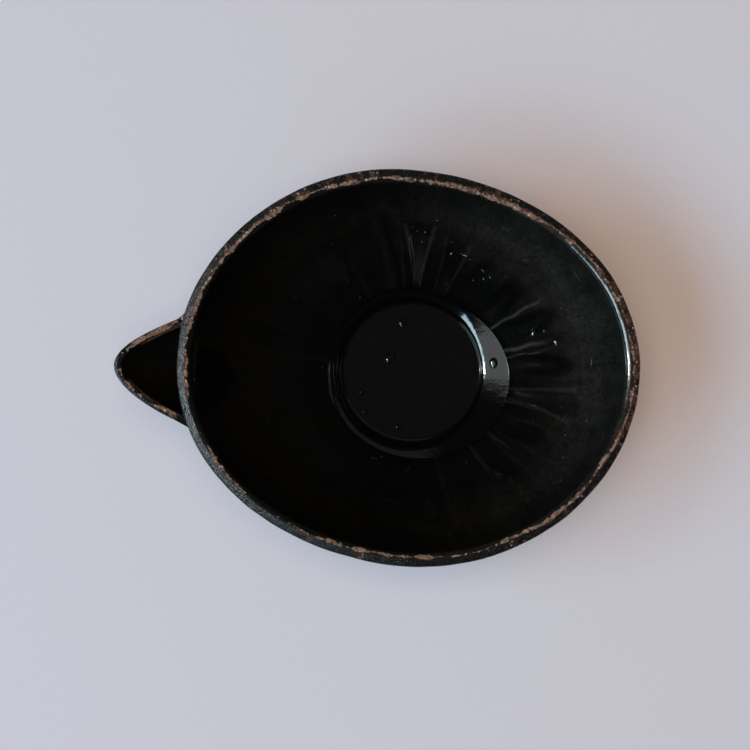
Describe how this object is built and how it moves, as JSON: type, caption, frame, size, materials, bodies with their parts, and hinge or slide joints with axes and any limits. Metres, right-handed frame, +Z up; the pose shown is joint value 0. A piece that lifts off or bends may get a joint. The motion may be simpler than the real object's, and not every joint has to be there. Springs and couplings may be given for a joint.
{
  "type": "lipped bowl",
  "caption": "Oval lipped pouring bowl in black-glazed stoneware with a fluted floor, a beak spout over a hole in its wall, and a foot ring.",
  "frame": {"origin": "on the surface that the foot stands on, under the middle of the whole length and width", "axes": "+X along the length, away from the spout; +Y across the bowl; +Z up"},
  "size_m": [0.171, 0.1286, 0.072],
  "materials": {
    "bowl_glaze": "glossy black iron glaze that breaks to rust brown on the rim",
    "spout_glaze": "glossy black iron glaze that breaks to rust brown on its edge",
    "spout_seam_glaze": "glossy black iron glaze",
    "foot_clay": "bare dark stoneware, matt",
    "foot_seam_glaze": "glossy black iron glaze"
  },
  "bodies": {
    "root": {"bowl": "bowl_glaze", "spout": "spout_glaze", "spout_seam_coil": "spout_seam_glaze", "foot_ring": "foot_clay", "foot_seam_coil": "foot_seam_glaze"}
  },
  "joints": []
}
